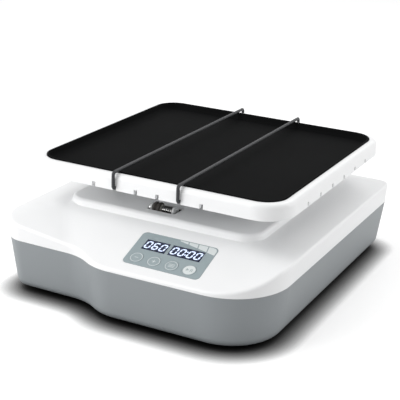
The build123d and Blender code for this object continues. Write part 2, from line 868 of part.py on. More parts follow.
def make_cord_beads():
    """Crimped end beads that hold the cords behind the notches."""
    beads = []
    for x in (-cord_x, cord_x):
        for side in (-1, 1):
            near = tray_y + side * cord_end
            bead = Cylinder(bead_d / 2, bead_length, align=(Align.CENTER, Align.CENTER, Align.MIN))
            bead = fillet(bead.edges(), 0.8)
            bead -= Cylinder(cord_d / 2 + fit, bead_length, align=(Align.CENTER, Align.CENTER, Align.MIN))
            turn = Rot(-90 * side, 0, 0)
            beads.append(Pos(x, near, cord_through) * turn * bead)
    return beads


# Control panel

def make_membrane():
    sheet = extrude(RectangleRounded(panel_width, panel_height, panel_corner_r), film)
    sheet = on_panel(sheet, 0, 0, film_bottom)
    for u, width in displays.values():
        sheet -= panel_box(u, display_v, film_bottom - 1, width, display_height, 3)
    for u in key_u.values():
        sheet -= panel_cylinder(u, key_v, film_bottom - 1, key_d + 2 * loose * 0.5, 3)
    return sheet


def make_window(name):
    u, width = displays[name]
    clear = 0.1
    return panel_box(u, display_v, film_bottom, width - 2 * clear, display_height - 2 * clear, film)


def make_display(name):
    """Numeric display module on the control board."""
    u, width = displays[name]
    body = panel_box(u, display_v, board_top, width - 0.4, display_height + 0.6, film_bottom - 0.1 - board_top)
    return body


def make_key(name):
    u = key_u[name]
    cap = Cylinder(key_d / 2, key_thickness, align=(Align.CENTER, Align.CENTER, Align.MIN))
    cap = fillet(cap.edges().group_by(Axis.Z)[-1], 0.3)
    key = on_panel(cap, u, key_v, key_bottom)
    return key + panel_cylinder(u, key_v, key_bottom - plunger_length, plunger_d, plunger_length + 0.2)


def make_tact_switches():
    switches = []
    for u in key_u.values():
        body = panel_box(u, key_v, board_top, tact_size, tact_size, tact_height - 0.9)
        body += panel_cylinder(u, key_v, board_top, 3.4, tact_height)
        switches.append(body)
    return switches


def board_corners():
    return [(u * (board_width / 2 - 3.2), v * (board_height / 2 - 3.2)) for u in (-1, 1) for v in (-1, 1)]


def make_control_board():
    board = panel_box(0, 0, board_top - board_thickness, board_width, board_height, board_thickness)
    chip = panel_box(12, -8, board_top - board_thickness - 1.4, 14, 14, 1.4)
    plug = panel_box(-22, 10, board_top - board_thickness - 7, 16, 6, 7)
    board += chip + plug
    for u, v in board_corners():
        board -= panel_cylinder(u, v, board_top - board_thickness - 1, 2.4, 4)
    return board


def make_board_screws():
    screws = []
    for u, v in board_corners():
        head_w = board_top - board_thickness
        piece = Rot(180, 0, 0) * screw(0, 0, 0, 2.0, 6, 4.2, 1.4)
        screws.append(on_panel(piece, u, v, head_w))
    return screws


def cut_board_pilots(cover):
    for u, v in board_corners():
        cover -= panel_cylinder(u, v, board_top, 2.0 + 2 * fit, 5)
    return cover


# Front guide unit

recess_y = recess_front_y + recess_depth / 2
bracket_middle_x = recess_x - 0.2
bracket_base_z = liner_floor_z + liner_wall
spring_gap = bracket_gap - guide_roller_width - 1.0


def make_recess_liner():
    outer = (recess_width + 4, recess_depth + 4)
    height = plateau_z - cover_wall - liner_floor_z
    liner = rounded_block(recess_x, recess_y, liner_floor_z, outer[0], outer[1], height, 2)
    inner = rounded_block(recess_x, recess_y, bracket_base_z, outer[0] - 2 * liner_wall,
                          outer[1] - 2 * liner_wall, height, 1)
    liner -= inner
    liner -= cylinder(bracket_middle_x, recess_y + 3, liner_floor_z, case_screw_d + 2 * screw_fit, 5)
    return liner


def cheek(x):
    height = bracket_top_z - bracket_base_z
    plate = block(x, guide_y, bracket_base_z, bracket_wall, bracket_depth, height)
    upright = plate.edges().filter_by(Axis.X).group_by(Axis.Z)[-1]
    return fillet(upright, 3.5)


def make_guide_bracket():
    half = bracket_gap / 2 + bracket_wall / 2
    base_width_x = bracket_gap + 2 * bracket_wall
    base_depth_y = recess_y + 7 - guide_y + bracket_depth / 2
    base_y = guide_y - bracket_depth / 2 + base_depth_y / 2
    bracket = block(bracket_middle_x, base_y, bracket_base_z, base_width_x, base_depth_y, bracket_wall)
    for side in (-1, 1):
        bracket += cheek(bracket_middle_x + side * half)
    bracket -= x_cylinder(bracket_middle_x - 20, guide_pin_d + 2 * fit, 40)
    bracket -= cylinder(bracket_middle_x, recess_y + 3, bracket_base_z, case_screw_d + 2 * screw_fit, 5)
    return bracket


def x_cylinder(x, d, length):
    """Cylinder lying along X on the guide axis, from x to the right."""
    lying = Rot(0, 90, 0) * Cylinder(d / 2, length, align=(Align.CENTER, Align.CENTER, Align.MIN))
    return Pos(x, guide_y, guide_z) * lying


def make_guide_pin():
    left = bracket_middle_x - bracket_gap / 2 - bracket_wall
    head = x_cylinder(left - 1.6, guide_pin_d + 2.2, 1.6)
    shank = x_cylinder(left, guide_pin_d, bracket_gap + 2 * bracket_wall + 1.2)
    return head + shank


roller_x = bracket_middle_x - bracket_gap / 2 + 1.0


def make_guide_roller():
    """Grooved roller turning on the pin."""
    roller = x_cylinder(roller_x, guide_roller_d, guide_roller_width)
    roller = fillet(roller.edges(), 1.0)
    groove = Rot(0, 90, 0) * Torus(guide_roller_d / 2 + 0.4, 1.5)
    roller -= Pos(roller_x + guide_roller_width / 2, guide_y, guide_z) * groove
    return roller - x_cylinder(roller_x, guide_pin_d + 2 * fit, guide_roller_width)


spring_r = (guide_spring_d - guide_spring_wire) / 2
spring_start = roller_x + guide_roller_width + loose
spring_length = bracket_middle_x + bracket_gap / 2 - spring_start - guide_spring_wire - 0.05
spring_pitch = spring_length / guide_spring_turns


def coil_point(turn):
    """Point on the middle line of the spring after so many turns."""
    a = 2 * math.pi * turn
    return Vector(spring_r * math.cos(a), spring_r * math.sin(a), spring_pitch * turn)


def coil_tangent(turn):
    a = 2 * math.pi * turn
    rise = spring_pitch / (2 * math.pi)
    return Vector(-spring_r * math.sin(a), spring_r * math.cos(a), rise).normalized()


def biarc(p0, t0, p1, t1):
    """Two tangent arcs from p0 to p1 that keep both end tangents."""
    chord = p1 - p0
    both = t0 + t1
    bend = 2 * (1 - t0.dot(t1))
    reach = (math.sqrt(chord.dot(both) ** 2 + bend * chord.dot(chord)) - chord.dot(both)) / bend
    joint = (p0 + t0 * reach + p1 - t1 * reach) * 0.5
    first = TangentArc(p0, joint, tangent=t0)
    second = TangentArc(joint, p1, tangent=first % 1)
    return [first, second]


def coil_path():
    arcs = []
    for quarter in range(4 * guide_spring_turns):
        a = quarter / 4
        b = (quarter + 1) / 4
        arcs += biarc(coil_point(a), coil_tangent(a), coil_point(b), coil_tangent(b))
    return Wire(arcs)


def coil_gap():
    """Least gap of the spring to itself, measured on points half a turn or more apart."""
    steps = 36
    points = [coil_point(i / steps) for i in range(steps * guide_spring_turns + 1)]
    least = min((p - q).length for i, p in enumerate(points) for q in points[i + steps // 2:])
    return least - guide_spring_wire


def make_guide_spring():
    """Coil spring round the pin, between the roller and the right cheek."""
    path = coil_path()
    section = Plane(origin=path @ 0, z_dir=path % 0) * Circle(guide_spring_wire / 2)
    coil = sweep(section, path=path)
    print("guide_spring least gap to itself, mm:", round(coil_gap(), 3))
    return Pos(spring_start + guide_spring_wire / 2, guide_y, guide_z) * Rot(0, 90, 0) * coil


def make_guide_screw():
    return screw(bracket_middle_x, recess_y + 3, bracket_base_z + bracket_wall, case_screw_d, 6, 5.4, 1.8)


# Rear connections and power supply

def y_block(x, y_from, z, size):
    """Box centred on x and z, going forward from y_from."""
    width, depth, height = size
    return block(x, y_from - depth / 2, z - height / 2, width, depth, height)


def make_rear_panel():
    width, thickness, height = rear_plate
    plate = y_block(0, panel_plane_y, rear_z, rear_plate)
    plate -= y_block(inlet_x, panel_plane_y + 1, rear_z, (inlet_body[0] + 0.4, 5, inlet_body[2] + 0.4))
    plate -= y_block(switch_x, panel_plane_y + 1, rear_z, (switch_body[0] + 0.4, 5, switch_body[2] + 0.4))
    return plate


def make_power_inlet():
    flange = y_block(inlet_x, panel_plane_y + inlet_flange[1], rear_z, inlet_flange)
    flange = fillet(flange.edges().filter_by(Axis.Y), 3)
    body = y_block(inlet_x, panel_plane_y, rear_z, inlet_body)
    inlet = flange + fillet(body.edges().filter_by(Axis.Y), 2)
    cavity = y_block(inlet_x, panel_plane_y + inlet_flange[1], rear_z, inlet_cavity)
    cavity = chamfer(cavity.edges().filter_by(Axis.Y).group_by(Axis.Z)[-1], 4)
    return inlet - cavity


def make_inlet_pins():
    pins = []
    back = panel_plane_y + inlet_flange[1] - inlet_cavity[1]
    for x, z in [(-7.0, -2.0), (0.0, 2.0), (7.0, -2.0)]:
        pins.append(y_block(inlet_x + x, back + inlet_pin[1], rear_z + z, inlet_pin))
    return pins


rocker_y = panel_plane_y + 1.0
rocker_pivot = Pos(switch_x, rocker_y, rear_z)


def rocker_pocket(extra):
    """Round-bottomed well that the rocker swings in."""
    return rocker_pivot * Rot(0, 90, 0) * Cylinder(rocker_r + extra, rocker_width + 2 * extra)


def make_power_switch():
    bezel = y_block(switch_x, panel_plane_y + switch_bezel[1], rear_z, switch_bezel)
    bezel = fillet(bezel.edges().filter_by(Axis.Y), 1.5)
    body = y_block(switch_x, panel_plane_y, rear_z, switch_body)
    return bezel + body - rocker_pocket(loose)


def make_power_rocker():
    """Rocker with two faces that meet in a shallow V, tilted to its off side."""
    points = [
        (rocker_r * 0.98, 3.2),
        (0, 1.2),
        (-rocker_r * 0.98, 3.2),
        (-rocker_r * 0.98, -1.0),
        (-5, -5.5),
        (5, -5.5),
        (rocker_r * 0.98, -1.0),
    ]
    profile = make_face(Polyline(*points, close=True))
    solid = extrude(profile, amount=rocker_width / 2, both=True)
    solid &= Cylinder(rocker_r, rocker_width + 2)
    turned = Rot(0, 90, 0) * solid
    return rocker_pivot * Rot(rocker_tilt, 0, 0) * turned


power_board_y = base_depth / 2 - 70.0
power_board_z = foot_height + shell_floor + 6.0
power_board_width = 90.0
power_board_depth = 54.0


def make_power_board():
    board = block(0, power_board_y, power_board_z, power_board_width, power_board_depth, board_thickness)
    transformer = rounded_block(-18, power_board_y, power_board_z + board_thickness, 38, 32, 26, 2)
    board += transformer
    for x, d, height in [(16, 16, 24), (34, 12, 20)]:
        board += cylinder(x, power_board_y + 10, power_board_z + board_thickness, d, height)
    board += block(24, power_board_y - 14, power_board_z + board_thickness, 34, 3, 22)
    return board


def make_power_board_feet():
    floor_z = foot_height + shell_floor
    foot_dx = power_board_width / 2 - 5
    foot_dy = power_board_depth / 2 - 5
    points = [(sx * foot_dx, power_board_y + sy * foot_dy) for sx in (-1, 1) for sy in (-1, 1)]
    return [cylinder(x, y, floor_z, 6, power_board_z - floor_z) for x, y in points]


# Assembly of named pieces

def collect():
    cover = cut_board_pilots(cut_cover(make_top_cover()))
    parts["bottom_shell"] = make_bottom_shell()
    parts["top_cover"] = cover
    parts["rubber_feet"] = make_feet()
    parts["foot_screws"] = make_foot_screws()
    parts["case_screws"] = make_case_screws()
    parts["cover_seals"] = make_cover_seals()
    parts["plate_posts"] = make_posts()
    parts["post_screws"] = make_post_screws()
    parts["drive_plate"] = make_drive_plate()
    parts["main_housing"] = make_main_housing()
    parts["main_bearings"] = make_main_bearings()
    parts["idler_housings"] = make_idler_housings()
    parts["idler_bearings"] = make_idler_bearings()
    parts["housing_screws"] = make_housing_screws()
    parts["motor"] = make_motor()
    parts["motor_screws"] = make_motor_screws()
    parts["motor_shaft"] = make_motor_shaft()
    parts["motor_pulley"] = make_motor_pulley()
    parts["drive_belt"] = make_belt()
    parts["crank_pulley"] = make_crank_pulley()
    parts["crank_shaft"] = make_crank_shaft()
    parts["counterweight"] = make_counterweight()
    for name, (x, y) in idler_points.items():
        parts["idler_" + name] = make_idler(x, y)
    parts["tray_carrier"] = make_carrier()
    parts["tray_bearings"] = make_tray_bearings()
    parts["tray_screws"] = make_tray_screws()
    parts["tray"] = make_tray()
    parts["tray_mat"] = make_mat()
    parts["cord_left"] = make_cord(-cord_x)
    parts["cord_right"] = make_cord(cord_x)
    parts["cord_beads"] = make_cord_beads()
    parts["panel_membrane"] = make_membrane()
    for name in displays:
        parts[name + "_window"] = make_window(name)
        parts[name + "_display"] = make_display(name)
    for name in key_names:
        parts[name] = make_key(name)
    parts["tact_switches"] = make_tact_switches()
    parts["control_board"] = make_control_board()
    parts["board_screws"] = make_board_screws()
    parts["recess_liner"] = make_recess_liner()
    parts["guide_bracket"] = make_guide_bracket()
    parts["guide_pin"] = make_guide_pin()
    parts["guide_roller"] = make_guide_roller()
    parts["guide_spring"] = make_guide_spring()
    parts["guide_screw"] = make_guide_screw()
    parts["rear_panel"] = make_rear_panel()
    parts["power_inlet"] = make_power_inlet()
    parts["inlet_pins"] = make_inlet_pins()
    parts["power_switch"] = make_power_switch()
    parts["power_rocker"] = make_power_rocker()
    parts["power_board"] = make_power_board()
    parts["power_board_feet"] = make_power_board_feet()


def write_parts():
    os.makedirs("parts", exist_ok=True)
    for name, shape in parts.items():
        if isinstance(shape, list):
            shape = Compound(children=shape)
        export_step(shape, os.path.join("parts", name + ".step"))


collect()
write_parts()
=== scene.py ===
import json
import math

import bpy
from mathutils import Matrix, Vector


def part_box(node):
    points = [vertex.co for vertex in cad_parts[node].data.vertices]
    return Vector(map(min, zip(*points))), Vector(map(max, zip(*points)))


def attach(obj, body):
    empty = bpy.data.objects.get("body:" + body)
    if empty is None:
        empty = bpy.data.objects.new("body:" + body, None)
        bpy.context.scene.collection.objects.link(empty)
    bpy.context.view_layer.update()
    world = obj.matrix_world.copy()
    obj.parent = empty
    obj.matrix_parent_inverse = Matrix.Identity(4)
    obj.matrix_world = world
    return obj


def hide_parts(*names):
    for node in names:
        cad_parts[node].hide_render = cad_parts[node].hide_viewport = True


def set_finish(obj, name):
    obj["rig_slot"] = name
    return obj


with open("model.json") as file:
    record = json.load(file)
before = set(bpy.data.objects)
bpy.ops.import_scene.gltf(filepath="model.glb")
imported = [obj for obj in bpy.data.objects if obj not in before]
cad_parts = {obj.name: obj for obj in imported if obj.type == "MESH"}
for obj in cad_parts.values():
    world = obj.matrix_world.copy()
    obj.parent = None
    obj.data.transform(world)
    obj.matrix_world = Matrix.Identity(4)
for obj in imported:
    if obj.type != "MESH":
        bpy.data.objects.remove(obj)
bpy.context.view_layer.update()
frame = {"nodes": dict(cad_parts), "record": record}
mm = 0.001

# Camera, as the photograph was taken
image_size = 400
focal_px = 1050.0
centre_px = (200.0, 199.5)
sensor_mm = 36.0
camera_place = Vector((0.4325, -0.8470, 0.4152))
camera_yaw = math.radians(27.36)
camera_pitch = math.radians(19.87)
camera_roll = math.radians(-2.0)

# Control surface
slope_angle = math.radians(20.0)
film_thickness = 0.6 * mm
key_row_v = -12.0 * mm
key_face = 0.2 * mm          # face of a key over the film
key_radius = 6.2 * mm
ring_inset = 0.75 * mm
ring_width = 0.45 * mm
sign_long = 3.6 * mm
sign_thin = 0.5 * mm
mode_bar_long = 5.6 * mm
mode_bar_pitch = 1.5 * mm
play_long = 2.8 * mm
play_half = 1.6 * mm
pause_places = (1.3 * mm, 2.7 * mm)
pause_thick = 0.7 * mm
print_thickness = 0.03 * mm

# Seven-segment digits
digit_height = 9.3 * mm
digit_width = 4.4 * mm
digit_stroke = 1.35 * mm
digit_slant = math.tan(math.radians(10.0))
segment_gap = 0.16 * mm
lit_segments = {"0": "abcdef", "6": "acdefg"}
speed_cells = 3.15           # digit pitches across a window
timer_cells = 4.3
timer_places = (-1.58, -0.58, 0.58, 1.58)
colon_half = 2.0 * mm
colon_r = 0.75 * mm

# Pale facets of the panel film
facet_top = 20.1 * mm
facet_start = -7.0 * mm
facet_fall = 0.205
facet_lean = 1.2 * mm
facet_spans = [(-1.0 * mm, 7.2 * mm), (8.2 * mm, 16.8 * mm), (17.8 * mm, 26.4 * mm)]
facet_corner = [(27.4 * mm, facet_top), (31.2 * mm, facet_top),
                (34.4 * mm, 19.2 * mm), (36.1 * mm, 16.6 * mm)]

# Guide roller
hub_r = 4.1 * mm
hub_edge = 0.15 * mm

# Rocker of the mains switch
rocker_pivot_y = 148.0 * mm
rocker_pivot_z = 28.0 * mm
rocker_lean = math.radians(8.0)
rocker_half = 8.232 * mm
rocker_end_rise = 2.0 * mm
rocker_middle = 1.2 * mm     # face over the pivot
rocker_bend = math.atan2(rocker_end_rise, rocker_half)
rocker_mark_reach = 4.3 * mm
rocker_mark_height = rocker_middle + rocker_mark_reach * rocker_end_rise / rocker_half
on_mark = (0.7 * mm, 3.6 * mm)
off_mark = (1.9 * mm, 1.3 * mm)

# Mat
mat_edge_width = 1.6 * mm
mat_corner = 20.9 * mm
mat_thickness = 2.0 * mm

# Material textures, in features per metre
moulded_cloud = 14.0
rubber_cloud = 22.0
window_cloud = 60.0
glow_cloud = 500.0
roller_grain = 2200.0
track_scale = 260.0
weave_scale = 420.0
weave_turn = math.radians(38)

# Floor and light
floor_half = 4.0
floor_albedo = 0.70
floor_lift = 0.44
shade_reach = 23 * mm
shade_depth = 3.6
world_strength = 0.60
lamps_aim = (0.0, 0.0, 0.08)
lamps = {
    "key_lamp": ((-0.8, -0.7, 1.3), (1.0, 1.0), 11.0),
    "front_lamp": ((-1.0, -1.1, 0.28), (0.9, 0.4), 6.8),
    "right_lamp": ((1.25, 0.7, 0.45), (0.9, 0.6), 5.0),
    "back_lamp": ((0.2, 1.2, 1.3), (1.4, 0.6), 6.0),
}


# Materials

def new_material(name):
    material = bpy.data.materials.new(name)
    material.use_nodes = True
    tree = material.node_tree
    return material, tree, tree.nodes["Principled BSDF"]


def object_noise(tree, scale, detail=3.0):
    """Noise over the object's own coordinates, with features of about 1/scale metres."""
    place = tree.nodes.new("ShaderNodeTexCoord")
    noise = tree.nodes.new("ShaderNodeTexNoise")
    noise.inputs["Scale"].default_value = scale
    noise.inputs["Detail"].default_value = detail
    tree.links.new(place.outputs["Object"], noise.inputs["Vector"])
    return noise.outputs["Fac"]


def spread(tree, value, low, high):
    """Maps a 0 to 1 value to the range from low to high."""
    node = tree.nodes.new("ShaderNodeMapRange")
    node.inputs["To Min"].default_value = low
    node.inputs["To Max"].default_value = high
    tree.links.new(value, node.inputs["Value"])
    return node.outputs["Result"]


def between(tree, value, first, second):
    """Colour between two colours by a 0 to 1 value."""
    node = tree.nodes.new("ShaderNodeMix")
    node.data_type = "RGBA"
    node.inputs["A"].default_value = (*first, 1.0)
    node.inputs["B"].default_value = (*second, 1.0)
    tree.links.new(value, node.inputs["Factor"])
    return node.outputs["Result"]


def add_bump(tree, shader, height, strength, distance):
    bump = tree.nodes.new("ShaderNodeBump")
    bump.inputs["Strength"].default_value = strength
    bump.inputs["Distance"].default_value = distance
    tree.links.new(height, bump.inputs["Height"])
    tree.links.new(bump.outputs["Normal"], shader.inputs["Normal"])


def scaled(colour, factor):
    return tuple(min(1.0, channel * factor) for channel in colour)


def moulded(name, colour, roughness=0.42, vary=0.02, grain=2600.0, grain_depth=0.02 * mm, coat=0.0):
    """Moulded plastic: a fine grain, faint blotches in colour and gloss."""
    material, tree, shader = new_material(name)
    cloud = object_noise(tree, moulded_cloud)
    tree.links.new(between(tree, cloud, scaled(colour, 1 - vary), scaled(colour, 1 + vary)),
                   shader.inputs["Base Color"])
    fine = object_noise(tree, grain, 2.0)
    tree.links.new(spread(tree, cloud, roughness - 0.04, roughness + 0.05), shader.inputs["Roughness"])
    add_bump(tree, shader, fine, 0.35, grain_depth)
    shader.inputs["Specular IOR Level"].default_value = 0.45
    shader.inputs["Coat Weight"].default_value = coat
    shader.inputs["Coat Roughness"].default_value = 0.25
    return material


def metal(name, colour, roughness=0.28, streak=(900.0, 60.0, 900.0), depth=0.01 * mm):
    """Machined or drawn metal with fine streaks."""
    material, tree, shader = new_material(name)
    place = tree.nodes.new("ShaderNodeTexCoord")
    stretch = tree.nodes.new("ShaderNodeMapping")
    stretch.inputs["Scale"].default_value = streak
    noise = tree.nodes.new("ShaderNodeTexNoise")
    noise.inputs["Scale"].default_value = 1.0
    noise.inputs["Detail"].default_value = 4.0
    tree.links.new(place.outputs["Object"], stretch.inputs["Vector"])
    tree.links.new(stretch.outputs["Vector"], noise.inputs["Vector"])
    streaks = noise.outputs["Fac"]
    tint = between(tree, streaks, scaled(colour, 0.9), scaled(colour, 1.05))
    tree.links.new(tint, shader.inputs["Base Color"])
    tree.links.new(spread(tree, streaks, roughness - 0.06, roughness + 0.1), shader.inputs["Roughness"])
    shader.inputs["Metallic"].default_value = 1.0
    add_bump(tree, shader, streaks, 0.3, depth)
    return material


def rubber(name, colour, roughness=0.75, grain=1800.0, gloss=0.35):
    material, tree, shader = new_material(name)
    fine = object_noise(tree, grain, 3.0)
    cloud = object_noise(tree, rubber_cloud)
    tint = between(tree, cloud, scaled(colour, 0.85), scaled(colour, 1.2))
    tree.links.new(tint, shader.inputs["Base Color"])
    tree.links.new(spread(tree, fine, roughness - 0.08, roughness + 0.08), shader.inputs["Roughness"])
    shader.inputs["Specular IOR Level"].default_value = gloss
    add_bump(tree, shader, fine, 0.5, 0.04 * mm)
    return material


def braided(name, colour):
    """Elastic cord with a fine woven jacket: two crossing sets of diagonal bands."""
    material, tree, shader = new_material(name)
    place = tree.nodes.new("ShaderNodeTexCoord")
    bands = []
    for turn in (-1, 1):
        slant = tree.nodes.new("ShaderNodeMapping")
        slant.inputs["Rotation"].default_value = (turn * weave_turn, 0, turn * weave_turn)
        wave = tree.nodes.new("ShaderNodeTexWave")
        wave.inputs["Scale"].default_value = weave_scale
        wave.inputs["Distortion"].default_value = 0.6
        tree.links.new(place.outputs["Object"], slant.inputs["Vector"])
        tree.links.new(slant.outputs["Vector"], wave.inputs["Vector"])
        bands.append(wave.outputs["Fac"])
    weave = tree.nodes.new("ShaderNodeMath")
    weave.operation = "MAXIMUM"
    tree.links.new(bands[0], weave.inputs[0])
    tree.links.new(bands[1], weave.inputs[1])
    tree.links.new(between(tree, weave.outputs["Value"], scaled(colour, 0.5), scaled(colour, 1.5)),
                   shader.inputs["Base Color"])
    tree.links.new(spread(tree, weave.outputs["Value"], 0.75, 0.5), shader.inputs["Roughness"])
    add_bump(tree, shader, weave.outputs["Value"], 0.6, 0.1 * mm)
    return material


def glossy_window(name, colour):
    material, tree, shader = new_material(name)
    cloud = object_noise(tree, window_cloud)
    tint = between(tree, cloud, scaled(colour, 0.9), scaled(colour, 1.1))
    tree.links.new(tint, shader.inputs["Base Color"])
    tree.links.new(spread(tree, cloud, 0.08, 0.14), shader.inputs["Roughness"])
    shader.inputs["Coat Weight"].default_value = 0.6
    shader.inputs["Coat Roughness"].default_value = 0.05
    return material


def glowing(name, colour, glow):
    material, tree, shader = new_material(name)
    cloud = object_noise(tree, glow_cloud)
    tree.links.new(between(tree, cloud, scaled(colour, 0.94), colour), shader.inputs["Emission Color"])
    shader.inputs["Emission Strength"].default_value = glow
    shader.inputs["Base Color"].default_value = (*scaled(colour, 0.6), 1.0)
    shader.inputs["Roughness"].default_value = 0.4
    return material


def two_tone(name, node, inner, outer):
    """Wheel turned about X: pale hub, dark tyre."""
    material, tree, shader = new_material(name)
    low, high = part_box(node)
    place = tree.nodes.new("ShaderNodeTexCoord")
    offset = tree.nodes.new("ShaderNodeVectorMath")
    offset.operation = "SUBTRACT"
    offset.inputs[1].default_value = (low + high) / 2
    flat = tree.nodes.new("ShaderNodeVectorMath")
    flat.operation = "MULTIPLY"
    flat.inputs[1].default_value = (0.0, 1.0, 1.0)
    radius = tree.nodes.new("ShaderNodeVectorMath")
    radius.operation = "LENGTH"
    tree.links.new(place.outputs["Object"], offset.inputs[0])
    tree.links.new(offset.outputs["Vector"], flat.inputs[0])
    tree.links.new(flat.outputs["Vector"], radius.inputs[0])
    tyre = spread(tree, radius.outputs["Value"], 0.0, 1.0)
    limits = tyre.node
    limits.inputs["From Min"].default_value = hub_r - hub_edge
    limits.inputs["From Max"].default_value = hub_r + hub_edge
    tree.links.new(between(tree, tyre, inner, outer), shader.inputs["Base Color"])
    tree.links.new(spread(tree, tyre, 0.3, 0.7), shader.inputs["Roughness"])
    add_bump(tree, shader, object_noise(tree, roller_grain), 0.3, 0.02 * mm)
    return material


def circuit(name):
    """Green solder mask with fine darker tracks."""
    material, tree, shader = new_material(name)
    place = tree.nodes.new("ShaderNodeTexCoord")
    cells = tree.nodes.new("ShaderNodeTexVoronoi")
    cells.inputs["Scale"].default_value = track_scale
    cells.distance = "MANHATTAN"
    tree.links.new(place.outputs["Object"], cells.inputs["Vector"])
    tree.links.new(between(tree, cells.outputs["Distance"], (0.015, 0.10, 0.04), (0.03, 0.2, 0.08)),
                   shader.inputs["Base Color"])
    shader.inputs["Roughness"].default_value = 0.35
    add_bump(tree, shader, cells.outputs["Distance"], 0.3, 0.05 * mm)
    return material


materials = {
    "white_plastic": moulded("white_moulding", (0.88, 0.885, 0.89), roughness=0.38, vary=0.008, coat=0.08),
    "grey_plastic": moulded("grey_moulding", (0.262, 0.282, 0.294), roughness=0.45, vary=0.02),
    "black_rubber": rubber("black_rubber", (0.018, 0.018, 0.019)),
    "mat_rubber": rubber("mat_rubber", (0.0056, 0.0058, 0.006), roughness=0.6, grain=2600.0, gloss=0.01),
    "cord_black": braided("cord_jacket", (0.022, 0.023, 0.026)),
    "steel": metal("steel", (0.56, 0.56, 0.55)),
    "bright_steel": metal("bright_steel", (0.75, 0.75, 0.74), roughness=0.14),
    "aluminium": metal("aluminium", (0.72, 0.73, 0.74), roughness=0.34),
    "plate_steel": metal("plated_sheet", (0.62, 0.63, 0.62), roughness=0.36, streak=(200.0, 60.0, 200.0)),
    "motor_black": moulded("motor_paint", (0.03, 0.03, 0.034), roughness=0.35, vary=0.1),
    "brass": metal("brass", (0.75, 0.56, 0.28), roughness=0.25),
    "panel_film": moulded("panel_film", (0.30, 0.36, 0.378), roughness=0.5, vary=0.012, grain=5200.0),
    "key_grey": moulded("key_film", (0.31, 0.37, 0.388), roughness=0.48, vary=0.012, grain=5200.0),
    "display_dark": glossy_window("display_window", (0.005, 0.011, 0.045)),
    "display_body": moulded("display_body", (0.02, 0.02, 0.025), roughness=0.3),
    "circuit_board": circuit("circuit_board"),
    "black_plastic": moulded("black_plastic", (0.022, 0.022, 0.023), roughness=0.42, vary=0.08),
    "rocker_black": moulded("rocker_plastic", (0.02, 0.02, 0.021), roughness=0.25, vary=0.08, coat=0.3),
}
print_white = moulded("print_white", (0.68, 0.72, 0.72), roughness=0.5, vary=0.02, grain=6000.0)
print_grey = moulded("print_grey", (0.36, 0.42, 0.43), roughness=0.5, vary=0.02, grain=6000.0)
lit = glowing("lit_segments", (0.66, 0.76, 1.0), 1.0)
own_finish = {
    "guide_roller": two_tone("roller", "guide_roller", (0.55, 0.53, 0.47), (0.05, 0.045, 0.04)),
    "guide_spring": metal("spring_wire", (0.20, 0.195, 0.19), roughness=0.35),
    "guide_bracket": moulded("bracket_coat", (0.62, 0.63, 0.63), roughness=0.4),
}


def dress_nodes():
    """Every carried-over piece takes the finish of its slot, or one of its own."""
    for row in frame["record"]["subparts"]:
        node = frame["nodes"][row["node"]]
        node.data.materials.clear()
        node.data.materials.append(own_finish.get(row["node"], materials[row["material_slot"]]))
        node["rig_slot"] = row["material_slot"]


# Mesh helpers

def make_piece(name, verts, faces, material, body, slot_name, smooth=False):
    mesh = bpy.data.meshes.new(name)
    mesh.from_pydata([tuple(v) for v in verts], [], faces)
    mesh.update()
    mesh.materials.append(material)
    if smooth:
        for polygon in mesh.polygons:
            polygon.use_smooth = True
    piece = bpy.data.objects.new(name, mesh)
    bpy.context.scene.collection.objects.link(piece)
    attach(piece, body)
    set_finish(piece, slot_name)
    return piece


class Surface:
    """Local frame on a face, at first the control surface: u right, v up the slope, w outwards."""

    def __init__(self, node):
        low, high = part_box(node)
        self.u = Vector((1, 0, 0))
        self.v = Vector((0, math.cos(slope_angle), math.sin(slope_angle)))
        self.w = Vector((0, -math.sin(slope_angle), math.cos(slope_angle)))
        self.origin = (low + high) / 2 + self.w * film_thickness / 2

    def at(self, u, v, w=0.0):
        return self.origin + self.u * u + self.v * v + self.w * w


class Print:
    """Thin printed shapes gathered into one mesh."""

    def __init__(self, surface):
        self.surface = surface
        self.verts = []
        self.faces = []

    def polygon(self, points):
        start = len(self.verts)
        count = len(points)
        for w in (0.0, print_thickness):
            self.verts += [self.surface.at(u, v, w) for u, v in points]
        self.faces.append([start + count + i for i in range(count)])
        self.faces.append([start + i for i in reversed(range(count))])
        for i in range(count):
            j = (i + 1) % count
            self.faces.append([start + i, start + j, start + count + j, start + count + i])

    def ring(self, u, v, outer, inner, steps=72):
        for i in range(steps):
            a = 2 * math.pi * i / steps
            b = 2 * math.pi * (i + 1) / steps
            corners = [(outer, a), (outer, b), (inner, b), (inner, a)]
            self.polygon([(u + r * math.cos(t), v + r * math.sin(t)) for r, t in corners])

    def disc(self, u, v, r, steps=72):
        angles = [2 * math.pi * i / steps for i in range(steps)]
        self.polygon([(u + r * math.cos(t), v + r * math.sin(t)) for t in angles])

    def bar(self, u, v, width, height):
        half_u, half_v = width / 2, height / 2
        self.polygon([(u - half_u, v - half_v), (u + half_u, v - half_v),
                      (u + half_u, v + half_v), (u - half_u, v + half_v)])

    def make(self, name, material, body, slot_name):
        return make_piece(name, self.verts, self.faces, material, body, slot_name)


# Displays

